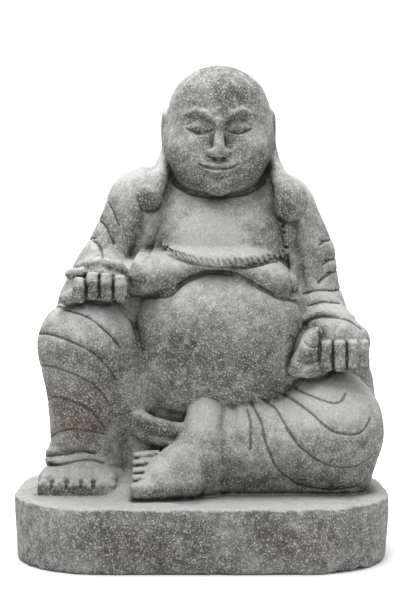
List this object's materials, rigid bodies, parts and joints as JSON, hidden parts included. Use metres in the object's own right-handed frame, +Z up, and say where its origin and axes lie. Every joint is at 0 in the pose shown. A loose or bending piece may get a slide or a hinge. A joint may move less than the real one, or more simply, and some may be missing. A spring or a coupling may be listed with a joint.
{
  "type": "laughing buddha statue",
  "caption": "Seated laughing buddha in carved speckled grey stone, one knee raised, hands on the legs, on a low rounded base.",
  "frame": {"origin": "middle of the underside of the base", "axes": "+Z up through the head, the figure faces -Y, +X to the figure's left, which is the viewer's right"},
  "size_m": [0.61, 0.38, 0.8],
  "materials": {
    "stone": "rough speckled grey volcanic stone, dulled by weather"
  },
  "bodies": {
    "root": {"statue": "stone"}
  },
  "joints": []
}
